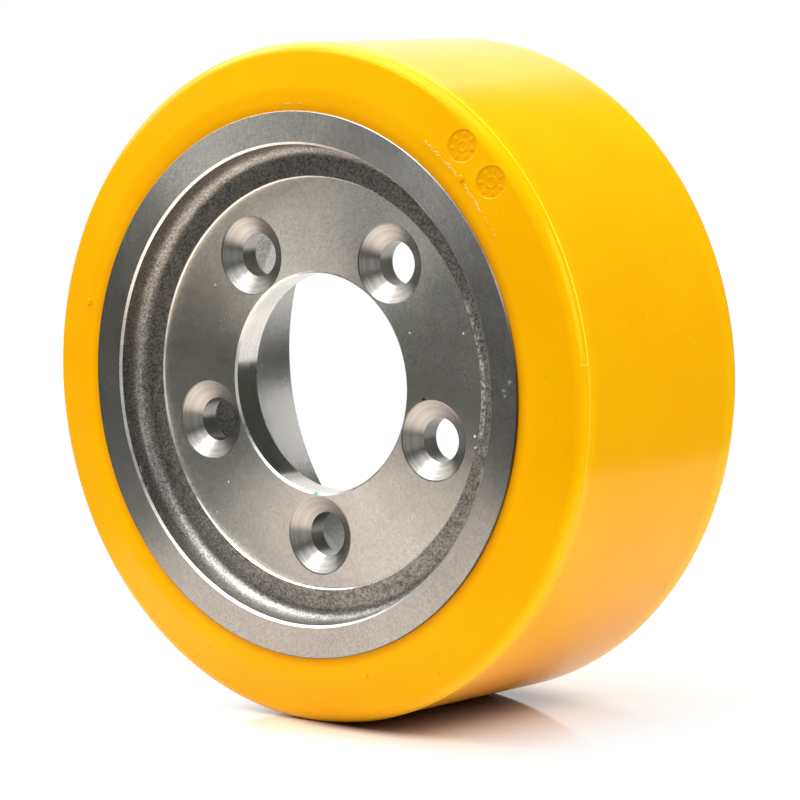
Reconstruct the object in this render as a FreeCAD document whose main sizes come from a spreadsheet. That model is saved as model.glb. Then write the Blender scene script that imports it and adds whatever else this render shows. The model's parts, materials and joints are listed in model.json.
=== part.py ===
import FreeCAD, Part
import os
import Sketcher

# Forklift drive wheel: a machined iron centre with a polyurethane tread bonded on to its rim.
# The wheel turns about Y. Its outer face, with the conical bolt seats, looks along -Y, and the
# truck's drive hub comes in from +Y. The origin is the middle of the wheel, with Z up.
# Lengths are millimetres and angles degrees. Depths are measured from the outer face of the rim.

SIZES = (
    ("wheel_diameter", 254, "over the tread"),
    ("rim_width", 108, "width of the iron rim"),
    ("tread_thickness", 25, "tread, from the rim to the ground"),
    ("tread_recess", 1, "tread's side, inside the rim's face"),
    ("side_band", 8, "flat inner band of the tread's side"),
    ("side_bevel", 13, "angle of the outer band"),
    ("shoulder_radius", 5, "rounded corner of the tread"),
    ("pip_diameter", 2.4, "moulded pip on the tread's side"),
    ("pip_height", 0.6, "pip, above the flat band"),
    ("pip_root", 1, "pip, sunk into the tread's side"),
    ("pip_count", 3, "pips round the side"),
    ("pip_angle", 46.5, "first pip, up from the X axis"),
    ("stamp_diameter", 12, "round moulded stamp beside the first pip"),
    ("stamp_depth", 0.4, "recess of a stamp"),
    ("stamp_inset", 9.5, "stamp's centre, in from the tread's surface"),
    ("stamp_spread", 8.4, "angle between the two stamps"),
    ("rim_chamfer", 0.5, "outer edges of the rim"),
    ("lip_width", 12.3, "rim's wall at its outer face"),
    ("lip_chamfer_width", 2.2, "turned chamfer inside the lip, radially"),
    ("lip_chamfer_depth", 0.8, "the same chamfer, along the axis"),
    ("cast_draft", 2, "draft of the cast walls"),
    ("dish_depth", 10.8, "cast web, from the rim's face"),
    ("dish_fillet", 4, "foot of the dish's wall"),
    ("facing_depth", 1.2, "metal turned off each side of the cast web"),
    ("web_thickness", 12.5, "web between its two turned faces"),
    ("face_margin", 5.1, "turned face, beyond the bolt seats"),
    ("bore_diameter", 82.6, "pilot bore"),
    ("bore_chamfer_width", 1.4, "bore's chamfers, radially"),
    ("bore_chamfer_depth", 0.5, "the same chamfers, along the axis"),
    ("bolt_count", 5, "wheel bolts"),
    ("bolt_circle", 114.3, "diameter of the bolt circle"),
    ("bolt_hole", 16.5, "diameter of a bolt hole"),
    ("seat_diameter", 29.5, "mouth of a conical bolt seat"),
    ("seat_angle", 108, "included angle of the seat"),
    ("barrel_wall", 12, "cast barrel, where it meets the register"),
    ("barrel_fillet", 7, "foot of the barrel's wall"),
    ("register_wall", 6, "barrel's wall in the turned register"),
    ("register_length", 24.5, "turned register, from the inner face"),
    ("register_chamfer", 1, "mouth of the register"),
)

# Places that several features share, each worked out from the sizes above.
RIM = "(sizes.wheel_diameter / 2 - sizes.tread_thickness)"
LIP = f"({RIM} - sizes.lip_width)"
DISH_FOOT = f"({LIP} - sizes.dish_depth * tan(sizes.cast_draft))"
FACE = "(sizes.bolt_circle / 2 + sizes.seat_diameter / 2 + sizes.face_margin)"
BORE = "(sizes.bore_diameter / 2)"
BORE_MOUTH = f"({BORE} + sizes.bore_chamfer_width)"
BORE_CLEAR = f"({BORE} - sizes.bore_chamfer_width)"
OUTER_FACE = "(sizes.dish_depth + sizes.facing_depth)"
INNER_FACE = f"({OUTER_FACE} + sizes.web_thickness)"
WEB_BACK = f"({INNER_FACE} + sizes.facing_depth)"
REGISTER = f"({RIM} - sizes.register_wall)"
REGISTER_STEP = "(sizes.rim_width - sizes.register_length)"
BARREL = f"({RIM} - sizes.barrel_wall)"
BARREL_FOOT = f"({BARREL} - ({REGISTER_STEP} - {WEB_BACK}) * tan(sizes.cast_draft))"
BARREL_END = f"({BARREL} + sizes.register_length * tan(sizes.cast_draft))"
BAND = f"({RIM} + sizes.side_band)"
TREAD = "(sizes.wheel_diameter / 2)"
BEVEL_DROP = f"(({TREAD} - {BAND}) * tan(sizes.side_bevel))"
SHOULDER = f"(sizes.tread_recess + {BEVEL_DROP})"
STAMP = f"({TREAD} - sizes.stamp_inset)"
STAMP_ANGLE = "(sizes.pip_angle + sizes.stamp_spread / 2)"
STAMP_PAIR = "2"
FULL_TURN = "360"

# An edge is taken to be at a place if it lies this close to it.
SAME_PLACE = 1e-4

# How a sketch numbers the points of a line or circle, its own origin and its own axes.
START_POINT, END_POINT, CENTRE_POINT = 1, 2, 3
ORIGIN, ORIGIN_POINT, X_AXIS, Y_AXIS = -1, 1, -1, -2


def write_sizes(doc):
    """Keeps the driving sizes in a sheet: name, value and meaning, one to a row."""
    sheet = doc.addObject("Spreadsheet::Sheet", "sizes")
    for row, (name, value, meaning) in enumerate(SIZES, start=1):
        sheet.set(f"A{row}", name)
        sheet.set(f"B{row}", str(value))
        sheet.setAlias(f"B{row}", name)
        sheet.set(f"C{row}", meaning)
    doc.recompute()
    return sheet


def origin_feature(body, role):
    """Finds one of the body's own origin planes or axes."""
    return next(feature for feature in body.Origin.OriginFeatures if feature.Role == role)


def bind(feature, **expressions):
    """Ties each named property to an expression on the sheet."""
    for name, expression in expressions.items():
        feature.setExpression(name, expression)


def new_sketch(body, name, role):
    """Adds a sketch on one of the body's own origin planes."""
    sketch = body.newObject("Sketcher::SketchObject", name)
    sketch.AttachmentSupport = [(origin_feature(body, role), "")]
    sketch.MapMode = "FlatFace"
    return sketch


def place_point(sketch, geometry, vertex, across, along):
    """Holds a sketch point at two expressions; a plain 0 keeps it on the sketch's own axis."""
    for kind, expression, axis in (("DistanceX", across, Y_AXIS), ("DistanceY", along, X_AXIS)):
        if expression == "0":
            sketch.addConstraint(Sketcher.Constraint("PointOnObject", geometry, vertex, axis))
            continue
        value = float(sketch.evalExpression(expression))
        distance = Sketcher.Constraint(kind, ORIGIN, ORIGIN_POINT, geometry, vertex, value)
        index = sketch.addConstraint(distance)
        sketch.setExpression(f"Constraints[{index}]", expression)


def section(body, name, *loops):
    """Draws closed outlines in the wheel's half section, as corners of radius and depth."""
    sketch = new_sketch(body, name, "XY_Plane")
    sketch.setExpression("AttachmentOffset.Base.y", "-sizes.rim_width / 2")
    for corners in loops:
        points = [FreeCAD.Vector(*(float(sketch.evalExpression(text)) for text in corner), 0)
                  for corner in corners]
        ends = points[1:] + points[:1]
        lines = [sketch.addGeometry(Part.LineSegment(*pair)) for pair in zip(points, ends)]
        for line, following in zip(lines, lines[1:] + lines[:1]):
            meet = Sketcher.Constraint("Coincident", line, END_POINT, following, START_POINT)
            sketch.addConstraint(meet)
        for line, corner in zip(lines, corners):
            place_point(sketch, line, START_POINT, *corner)
    return sketch


def round_spot(body, name, across, along, diameter):
    """Draws one circle on the plane across the axis, placed from the wheel's centre."""
    sketch = new_sketch(body, name, "XZ_Plane")
    middle = FreeCAD.Vector(float(sketch.evalExpression(across)), float(sketch.evalExpression(along)), 0)
    radius = float(sketch.evalExpression(diameter)) / 2
    circle = sketch.addGeometry(Part.Circle(middle, FreeCAD.Vector(0, 0, 1), radius))
    place_point(sketch, circle, CENTRE_POINT, across, along)
    index = sketch.addConstraint(Sketcher.Constraint("Diameter", circle, 2 * radius))
    sketch.setExpression(f"Constraints[{index}]", diameter)
    return sketch


def turn(body, kind, name, sketch):
    """Turns a half section once round the wheel's axis, to add or to cut away."""
    feature = body.newObject(f"PartDesign::{kind}", name)
    feature.Profile = sketch
    feature.ReferenceAxis = (sketch, ["V_Axis"])
    feature.Angle = 360
    body.Document.recompute()
    return feature


def edges_at(feature, *places):
    """Names the circular edges of a feature at each radius and depth."""
    names = []
    front = float(feature.evalExpression("sizes.rim_width")) / 2
    for radius_text, depth_text in places:
        radius = float(feature.evalExpression(radius_text))
        depth = float(feature.evalExpression(depth_text)) - front
        for number, edge in enumerate(feature.Shape.Edges, start=1):
            if not isinstance(edge.Curve, Part.Circle):
                continue
            radius_error = abs(edge.Curve.Radius - radius)
            depth_error = abs(edge.Curve.Center.y - depth)
            if max(radius_error, depth_error) < SAME_PLACE:
                names.append(f"Edge{number}")
    return names


def dress(body, kind, name, base, size_property, expression, *places):
    """Rounds or chamfers the circular edges at the given places."""
    feature = body.newObject(f"PartDesign::{kind}", name)
    feature.Base = (base, edges_at(base, *places))
    feature.setExpression(size_property, expression)
    body.Document.recompute()
    return feature


def pattern(body, name, original, angle, count):
    """Repeats a feature round the wheel's axis."""
    copies = body.newObject("PartDesign::PolarPattern", name)
    copies.Originals = [original]
    copies.Axis = (origin_feature(body, "Y_Axis"), [""])
    bind(copies, Angle=angle, Occurrences=count)
    body.Tip = copies
    body.Document.recompute()
    return copies


def new_body(doc, name):
    """Starts a sub-part under its own label."""
    body = doc.addObject("PartDesign::Body", name)
    body.Label = name
    return body


def make_wheel_centre(doc):
    """The casting: rim, dished web and open barrel, then its turned faces, register and bolt seats."""
    body = new_body(doc, "wheel_centre")
    casting_section = section(body, "casting_section", (
        (BORE, "sizes.dish_depth"),
        (DISH_FOOT, "sizes.dish_depth"),
        (LIP, "0"),
        (RIM, "0"),
        (RIM, "sizes.rim_width"),
        (BARREL_END, "sizes.rim_width"),
        (BARREL_FOOT, WEB_BACK),
        (BORE, WEB_BACK),
    ))
    casting = turn(body, "Revolution", "casting", casting_section)
    dish_foot = dress(body, "Fillet", "dish_foot", casting, "Radius", "sizes.dish_fillet",
                      (DISH_FOOT, "sizes.dish_depth"))
    barrel_foot = dress(body, "Fillet", "barrel_foot", dish_foot, "Radius", "sizes.barrel_fillet",
                        (BARREL_FOOT, WEB_BACK))

    # Each cut is drawn a little past the metal that it clears.
    outer_section = section(body, "outer_turning_section", (
        (BORE_CLEAR, f"{OUTER_FACE} + 2 * sizes.bore_chamfer_depth"),
        (BORE_MOUTH, OUTER_FACE),
        (FACE, OUTER_FACE),
        (FACE, "sizes.dish_depth - sizes.facing_depth"),
        (BORE_CLEAR, "sizes.dish_depth - sizes.facing_depth"),
    ), (
        (f"{LIP} + sizes.lip_chamfer_width", "0"),
        (f"{LIP} - sizes.lip_chamfer_width", "2 * sizes.lip_chamfer_depth"),
        (f"{LIP} - sizes.lip_chamfer_width", "0"),
    ))
    outer_turning = turn(body, "Groove", "outer_turning", outer_section)
    inner_section = section(body, "inner_turning_section", (
        (BORE_CLEAR, f"{INNER_FACE} - 2 * sizes.bore_chamfer_depth"),
        (BORE_MOUTH, INNER_FACE),
        (FACE, INNER_FACE),
        (FACE, f"{WEB_BACK} + sizes.facing_depth"),
        (BORE_CLEAR, f"{WEB_BACK} + sizes.facing_depth"),
    ), (
        (BARREL_FOOT, REGISTER_STEP),
        (REGISTER, REGISTER_STEP),
        (REGISTER, "sizes.rim_width - sizes.register_chamfer"),
        (f"{REGISTER} + 2 * sizes.register_chamfer", "sizes.rim_width + sizes.register_chamfer"),
        (BARREL_FOOT, "sizes.rim_width + sizes.register_chamfer"),
    ))
    inner_turning = turn(body, "Groove", "inner_turning", inner_section)
    rim_edges = dress(body, "Chamfer", "rim_edges", inner_turning, "Size", "sizes.rim_chamfer",
                      (RIM, "0"), (RIM, "sizes.rim_width"))

    # The first bolt seat is straight below the centre.
    seat_spot = round_spot(body, "seat_spot", "0", "-sizes.bolt_circle / 2", "sizes.bolt_hole")
    seat_spot.setExpression("AttachmentOffset.Base.z", f"sizes.rim_width / 2 - {OUTER_FACE}")
    doc.recompute()
    seat = body.newObject("PartDesign::Hole", "bolt_seat")
    seat.Profile = seat_spot
    seat.DepthType = "ThroughAll"
    seat.HoleCutType = "Countersink"
    bind(seat, Diameter="sizes.bolt_hole", HoleCutDiameter="sizes.seat_diameter",
         HoleCutCountersinkAngle="sizes.seat_angle")
    doc.recompute()
    seats = pattern(body, "bolt_seats", seat, FULL_TURN, "sizes.bolt_count")
    check_cuts(barrel_foot, outer_turning, inner_turning, rim_edges, seat, seats)
    return body


def make_tread(doc):
    """The tread: a moulded band with bevelled sides, round shoulders, pips and two plain stamps."""
    body = new_body(doc, "tread")
    tread_section = section(body, "tread_section", (
        (RIM, "sizes.tread_recess"),
        (BAND, "sizes.tread_recess"),
        (TREAD, SHOULDER),
        (TREAD, f"sizes.rim_width - {SHOULDER}"),
        (BAND, "sizes.rim_width - sizes.tread_recess"),
        (RIM, "sizes.rim_width - sizes.tread_recess"),
    ))
    moulding = turn(body, "Revolution", "moulding", tread_section)
    shoulders = dress(body, "Fillet", "shoulders", moulding, "Radius", "sizes.shoulder_radius",
                      (TREAD, SHOULDER), (TREAD, f"sizes.rim_width - {SHOULDER}"))

    # The stamps lie in the bevelled band, so their sketch is tilted with it.
    stamp_spot = round_spot(body, "stamp_spot", "0", "0", "sizes.stamp_diameter")
    stamp_drop = f"(sizes.tread_recess + ({STAMP} - {BAND}) * tan(sizes.side_bevel))"
    stamp_spot.setExpression("AttachmentOffset.Base.x", f"{STAMP} * cos({STAMP_ANGLE})")
    stamp_spot.setExpression("AttachmentOffset.Base.y", f"{STAMP} * sin({STAMP_ANGLE})")
    stamp_spot.setExpression("AttachmentOffset.Base.z", f"sizes.rim_width / 2 - {stamp_drop}")
    stamp_spot.setExpression("AttachmentOffset.Rotation.Yaw", STAMP_ANGLE)
    stamp_spot.setExpression("AttachmentOffset.Rotation.Pitch", "sizes.side_bevel")
    doc.recompute()
    stamp = body.newObject("PartDesign::Pocket", "stamp")
    stamp.Profile = stamp_spot
    stamp.setExpression("Length", "sizes.stamp_depth")
    doc.recompute()
    stamps = pattern(body, "stamps", stamp, "sizes.stamp_spread", STAMP_PAIR)
    check_cuts(shoulders, stamp, stamps)

    pip_spot = round_spot(body, "pip_spot", f"{BAND} * cos(sizes.pip_angle)",
                          f"{BAND} * sin(sizes.pip_angle)", "sizes.pip_diameter")
    pip_spot.setExpression("AttachmentOffset.Base.z",
                           "sizes.rim_width / 2 - sizes.tread_recess - sizes.pip_root")
    doc.recompute()
    pip = body.newObject("PartDesign::Pad", "pip")
    pip.Profile = pip_spot
    pip.setExpression("Length", "sizes.pip_root + sizes.pip_height")
    doc.recompute()
    pattern(body, "pips", pip, FULL_TURN, "sizes.pip_count")
    return body


def check_cuts(*features):
    """Stops if any step in a row of cuts has removed nothing."""
    volumes = [feature.Shape.Volume for feature in features]
    for feature, before, after in zip(features[1:], volumes, volumes[1:]):
        if after >= before:
            raise RuntimeError(f"{feature.Name} cut nothing")


def check_document(doc, bodies):
    """Stops if any object failed, or a sub-part isn't one valid solid."""
    for item in doc.Objects:
        if "Invalid" in item.State or "Error" in item.State:
            raise RuntimeError(f"{item.Name} failed: {item.State}")
    for body in bodies:
        if body.Shape.isNull() or not body.Shape.isValid() or len(body.Shape.Solids) != 1:
            raise RuntimeError(f"{body.Label} isn't one valid solid")


def main():
    doc = FreeCAD.newDocument("drive_wheel")
    write_sizes(doc)
    bodies = [make_wheel_centre(doc), make_tread(doc)]
    doc.recompute()
    check_document(doc, bodies)
    os.makedirs("parts", exist_ok=True)
    for body in bodies:
        body.Shape.exportStep(f"parts/{body.Label}.step")
        print(body.Label, round(body.Shape.Volume), "mm3", body.Shape.BoundBox)


main()
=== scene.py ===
import contextlib
import json
import math
import random

import bmesh
import bpy
from mathutils import Euler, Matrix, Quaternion, Vector


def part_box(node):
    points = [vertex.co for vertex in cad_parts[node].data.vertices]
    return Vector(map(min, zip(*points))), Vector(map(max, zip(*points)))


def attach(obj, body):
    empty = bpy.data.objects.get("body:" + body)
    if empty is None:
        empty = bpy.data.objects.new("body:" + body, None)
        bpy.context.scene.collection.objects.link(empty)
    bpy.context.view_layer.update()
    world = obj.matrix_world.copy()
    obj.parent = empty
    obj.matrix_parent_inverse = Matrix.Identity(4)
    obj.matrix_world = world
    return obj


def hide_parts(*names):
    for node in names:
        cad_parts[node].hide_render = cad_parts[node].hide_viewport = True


# A forklift drive wheel: a turned iron casting with a yellow polyurethane tread moulded on to its rim.
# Lengths are metres. A place in the wheel's half section is a radius from the axis and a depth from
# the outer face of the rim. Angles round the wheel are degrees, anticlockwise from the right as its
# outer face is seen.

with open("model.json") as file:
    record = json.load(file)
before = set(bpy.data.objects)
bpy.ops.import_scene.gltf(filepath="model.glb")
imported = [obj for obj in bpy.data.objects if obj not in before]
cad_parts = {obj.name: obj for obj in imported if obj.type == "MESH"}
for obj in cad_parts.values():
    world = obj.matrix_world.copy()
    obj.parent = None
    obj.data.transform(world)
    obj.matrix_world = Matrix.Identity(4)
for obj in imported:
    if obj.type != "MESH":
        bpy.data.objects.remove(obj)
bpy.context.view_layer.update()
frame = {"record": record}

MM = 0.001

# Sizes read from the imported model
rim_low, rim_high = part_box("wheel_centre")
tread_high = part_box("tread")[1]
mounts = {mount["name"]: mount for mount in frame["record"]["mounts"]}
FRONT = rim_low.y
RIM_WIDTH = rim_high.y - rim_low.y
RIM = rim_high.x
TREAD = tread_high.x
BORE = mounts["centre_bore"]["dims"]["r_mm"] * MM
BOLT_CIRCLE = mounts["wheel_bolts"]["dims"]["pcd_mm"] / 2 * MM
BOLT_COUNT = mounts["wheel_bolts"]["dims"]["count"]
BOLT_HOLE = mounts["wheel_bolts"]["dims"]["hole_r_mm"] * MM
INNER_FACE = mounts["hub_face"]["pos_m"][1] - FRONT
REGISTER = mounts["rear_register"]["dims"]["r_mm"] * MM
REGISTER_WALL = mounts["rear_register"]["dims"]["length_mm"] * MM

# The casting
DRAFT_ANGLE = 2
CAST_DRAFT = math.tan(math.radians(DRAFT_ANGLE))
RIM_CHAMFER = 0.22 * MM
LIP_WIDTH = 12.3 * MM
LIP_CHAMFER_WIDTH = 0.85 * MM
LIP_CHAMFER_DEPTH = 0.8 * MM
FACING_DEPTH = 1.2 * MM
WEB_THICKNESS = 12.5 * MM
DISH_FILLET = 5 * MM
SEAT_MOUTH = 14.75 * MM
SEAT_ANGLE = 108
SEAT_SLOPE = math.tan(math.radians(SEAT_ANGLE / 2))
FACE_MARGIN = 5.1 * MM
BORE_CHAMFER_WIDTH = 0.8 * MM
BORE_CHAMFER_DEPTH = 0.75 * MM
BARREL_WALL = 12 * MM
BARREL_FILLET = 7 * MM
REGISTER_CHAMFER = 1 * MM
BARREL_CLEANED = 7 * MM
EDGE_BREAK = 0.35 * MM
STEP_BREAK = 0.55 * MM
CAST_GRAIN = 3.5 * MM
CAST_RELIEF = 0.25 * MM

# Where the skin is scraped: how far past the turned face, and the height over the radius at which it
# starts, is full, is no longer full and ends
SCRAPED_WIDTH = 3 * MM
SCRAPED_RISE = (-0.27, -0.12, 0.40, 0.50)

# How fine tool marks spread a shine: how far the surface leans, as a slope, and the share that leans so
TOOL_LEANS = ((-0.45, 1.6), (-0.30, 1.9), (-0.15, 2.0), (0.0, 1.9), (0.15, 2.0), (0.30, 1.9), (0.45, 1.6))

# Marks on the outer side: radius, angle and size
NICKS = (
    (48.3 * MM, 26.4, 0.55 * MM),
    (72.0 * MM, 18.4, 0.55 * MM),
    (75.0 * MM, -11.1, 0.8 * MM),
    (76.3 * MM, -14.1, 0.6 * MM),
    (61.0 * MM, -138.1, 0.5 * MM),
    (73.5 * MM, -134.1, 0.45 * MM),
    (62.0 * MM, 146.4, 0.5 * MM),
)
SCUFFS = (
    (99.0 * MM, 4.6, 1.5 * MM),
    (96.2 * MM, 2.8, 1.2 * MM),
    (96.6 * MM, 1.6, 1.0 * MM),
)
RUST_DOTS = (
    (90.9 * MM, 157.9, 0.7 * MM),
    (50.0 * MM, -3.1, 0.9 * MM),
)
PAINT_DAB = (41.6 * MM, -92.8, 1.6 * MM)

# The tread
TREAD_RECESS = 1 * MM
SIDE_BAND = 8 * MM
RIM_SHADE_WIDTH = 4.5 * MM
SIDE_BEVEL = math.tan(math.radians(13))
SHOULDER_RADIUS = 5 * MM
SHOULDER_ROUND = 3.98 * MM
SEAM_DEPTH = 10 * MM
SEAM_WIDTH = 0.6 * MM
SEAM_HEIGHT = 0.3 * MM
PIP_RADIUS = 1.2 * MM
PIP_HEIGHT = 0.6 * MM
PIP_ANGLES = (46.5, 166.5, 286.5)
STAMP_RADIUS = 6.2 * MM
STAMP_DEPTH = 0.4 * MM
STAMP_INSET = 9.1 * MM
STAMP_ANGLES = (41.9, 50.7)
DIAL_RADIUS = 1.9 * MM
DIAL_LINE = 0.6 * MM
DIAL_HEIGHT = 0.26
TICK_COUNT = 7
TICK_SIZE = (1.3 * MM, 0.9 * MM, 0.18 * MM)
TICK_RADIUS = 4.2 * MM

# Flash on the tread. The strand's places are an angle, and a depth in millimetres. A run of flakes has a
# radius, a first and a last angle, and a count. A notch's lip has a radius and an angle.
STRAND_RADIUS = 0.16 * MM
STRAND_PLACES = ((12.9, 10.0), (10.5, 10.05), (8.2, 10.1), (7.1, 9.9), (6.7, 9.0), (6.75, 7.6), (6.95, 6.3))
FLAKE_SIZE = (1.0 * MM, 0.2 * MM, 0.24 * MM)
FLAKE_RUNS = ((109.1 * MM, 38.6, 45.0, 13), (109.5 * MM, 47.8, 56.8, 17), (109.4 * MM, 33.6, 37.6, 4))
NOTCH_LIPS = ((104.6 * MM, 90.0), (104.6 * MM, 93.2))
NOTCH_SIZE = (1.8 * MM, 0.14 * MM, 0.09 * MM)

# How the torn flakes vary: their seed, size, distance off the line, turn off the line and place along it
FLAKE_SEED = 7
FLAKE_SCALES = 0.35, 1.2
FLAKE_STRAY = 0.45 * MM
FLAKE_ASKEW = 0.5
FLAKE_SHIFT = 0.3

# Where the tread's shoulders are painted brighter, as painted light: depth from the rim's nearer side, and
# distance below the outer radius
SHOULDER_LIGHT_START = 4 * MM, 8 * MM
SHOULDER_LIGHT_END = 11 * MM, 16 * MM
SHOULDER_LIGHT_BELOW = 3 * MM, 1 * MM

# How far above the outer radius the seam's crest is painted pale, as a painted highlight
HIGHLIGHT_ABOVE = 0.04 * MM, 0.16 * MM

# Heights between which a look changes
SHOULDER_LIGHT_HEIGHTS = -0.05, 0.05
HIGHLIGHT_HEIGHTS = -0.04, 0.02
LOW_SHADE_HEIGHTS = 0.02, 0.05

# Colours, with alpha. Tones are the dark and the light end of a finish.
HUB_TONES = (0.57, 0.555, 0.52, 1), (0.84, 0.815, 0.765, 1)
LIP_TONES = (0.45, 0.44, 0.42, 1), (0.70, 0.68, 0.645, 1)
BORE_TONES = (0.70, 0.665, 0.61, 1), (0.90, 0.865, 0.81, 1)
EDGE_TONES = (0.68, 0.66, 0.63, 1), (0.82, 0.80, 0.765, 1)
SEAT_TONES = (0.40, 0.385, 0.36, 1), (0.48, 0.465, 0.435, 1)
SHADED_WALL_TONES = (0.07, 0.068, 0.062, 1), (0.34, 0.325, 0.305, 1)
RING_TONES = (0.15, 0.146, 0.135, 1), (0.58, 0.555, 0.52, 1)
TREAD_TONES = (0.93, 0.420, 0.0010, 1), (0.955, 0.450, 0.0014, 1)
FLASH_TONES = (0.94, 0.50, 0.03, 1), (0.96, 0.74, 0.34, 1)
LOW_SHADE_BROWN = 0.13, 0.11, 0.085, 1
RUST_BROWN = 0.16, 0.07, 0.04, 1
NICK_BRIGHT = 0.86, 0.85, 0.82, 1
SCRAPED_BRIGHT = 0.70, 0.69, 0.66, 1
PAINT_GREEN = 0.03, 0.50, 0.22, 1
SPECK_BROWN = 0.30, 0.12, 0.004, 1
SHADED_YELLOW = 0.66, 0.23, 0.0020, 1
SHOULDER_LIGHT_YELLOW = 0.97, 0.58, 0.0020, 1
HIGHLIGHT_YELLOW = 0.97, 0.68, 0.02, 1
SHINE_YELLOW = 1.0, 0.6, 0.02, 1
TABLE_DARK = 0.12, 0.12, 0.12, 1
TABLE_LIT = 0.95, 0.855, 0.785, 1
TABLE_SHADOW_BROWN = 0.21, 0.11, 0.085, 1
TABLE_SHADE_GREY = 0.42, 0.415, 0.41, 1
ROOM_TINT = 0.92, 1.0, 0.88, 1
WHITE = 1, 1, 1, 1

# Most values of a noise lie between these
NOISE_RANGE = 0.3, 0.7

# Steps round the wheel, a multiple of the bolts, and round a bolt seat
WHEEL_STEPS = 480
SEAT_STEPS = 96

# Faces that meet at less than this angle are shaded smooth, and points nearer than this are joined
SMOOTH_ANGLE = math.radians(16)
JOIN_DISTANCE = 1e-6

# Allowances for telling points and faces apart by their places
EDGE_MARGIN = 0.05 * MM
WALL_MARGIN = 0.1 * MM
RING_MARGIN = 0.8 * MM
SEAT_MARGIN = 0.02 * MM
LINE_MARGIN = 0.01 * MM
END_MARGIN = 0.001

# How far a face's normal points along the axis: more than the first on a flat face, less than the second
# on an upright wall. The third tells the bore's wall from its chamfers.
FLAT_FACE = 0.97
UPRIGHT_WALL = 0.2
BORE_WALL = 0.5

# Places worked out from the sizes above
LIP = RIM - LIP_WIDTH
LIP_CHAMFER = LIP + LIP_CHAMFER_WIDTH
FACE = BOLT_CIRCLE + SEAT_MOUTH + FACE_MARGIN
OUTER_FACE = INNER_FACE - WEB_THICKNESS
DISH = OUTER_FACE - FACING_DEPTH
WEB_BACK = INNER_FACE + FACING_DEPTH
DISH_FOOT = LIP - DISH * CAST_DRAFT
REGISTER_STEP = RIM_WIDTH - REGISTER_WALL - REGISTER_CHAMFER
BARREL = RIM - BARREL_WALL
BARREL_FOOT = BARREL - (REGISTER_STEP - WEB_BACK) * CAST_DRAFT
SEAT_BOTTOM = OUTER_FACE + (SEAT_MOUTH - BOLT_HOLE) / SEAT_SLOPE
BAND = RIM + SIDE_BAND
SHOULDER = TREAD_RECESS + (TREAD - BAND) * SIDE_BEVEL
BOLT_ANGLES = [360 / BOLT_COUNT * turn - 90 for turn in range(BOLT_COUNT)]
FLOOR = -TREAD

# The photograph's view
CAMERA_AZIMUTH = math.radians(39.02)
CAMERA_ELEVATION = math.radians(6.24)
CAMERA_LENS = 188.4
CAMERA_DISTANCE = 1.5961
AIM_RIGHT = 3.65 * MM
AIM_UP = -9.78 * MM

# The table's edges, and the stretches of x or y in which its looks change
TABLE_LEFT, TABLE_RIGHT = -0.9, 0.272
TABLE_FRONT, TABLE_BACK = -0.42, 1.1
TABLE_ROUGHNESS = 0.08
LIT_NEAR = -0.26, -0.14
LIT_AHEAD = -0.40, -0.28
LIT_AHEAD_RIGHT = 0.09, 0.15
LIT_LEFT = -0.32, -0.16
CONTACT_SHADOW_LEFT = -0.015, 0.015
CONTACT_SHADOW_RIGHT = 0.02, 0.075
CONTACT_SHADOW_FRONT = -0.06, -0.045
CONTACT_SHADOW_BACK = 0.045, 0.075
SHADE_RIGHT = 0.10, TABLE_RIGHT
SHADE_FRONT = -0.10, -0.02
MIRRORED_BACK = 0.03, 0.12

# How far from the wheel the table turns white, and how many times sooner in front and at the left
WHITE_AWAY = 0.04, 0.13
SOONER_IN_FRONT = 5
SOONER_AT_LEFT = 2.5

# The room: its light on the wheel, its level in reflections, and the white backdrop behind the wheel
ROOM_AMBIENT = 0.26
ROOM_DIM = 0.060
BACKDROP_RISE = 0.16
BACKDROP_EDGE = 0.82, 0.93

# Soft lamps: azimuth from straight in front of the wheel towards its right, elevation, brightness
LAMP_DISTANCE = 1.3
LAMP_SIZE = 0.8
LAMPS = {
    "key_softbox": (-32, 62, 5.6),
    "front_softbox": (5, 42, 1.5),
    "low_fill": (-30, 12, 0.17),
    "left_key": (-60, 50, 1.2),
    "left_softbox": (-78, 32, 2.1),
    "left_fill": (-105, 50, 2.9),
    "right_fill": (52, 4, 0.8),
    "right_softbox": (97, 25, 5.4),
    "back_left_fill": (-140, 55, 0.8),
    "overhead_softbox": (0, 88, 3.6),
}


# Shader expressions

class Value:
    """One shader output. Arithmetic on it adds Math nodes."""

    def __init__(self, nodes, socket):
        self.nodes = nodes
        self.socket = socket

    def __add__(self, other):
        return self.nodes.math("ADD", self, other)

    def __sub__(self, other):
        return self.nodes.math("SUBTRACT", self, other)

    def __rsub__(self, other):
        return self.nodes.math("SUBTRACT", other, self)

    def __mul__(self, other):
        return self.nodes.math("MULTIPLY", self, other)

    def __truediv__(self, other):
        return self.nodes.math("DIVIDE", self, other)


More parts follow.
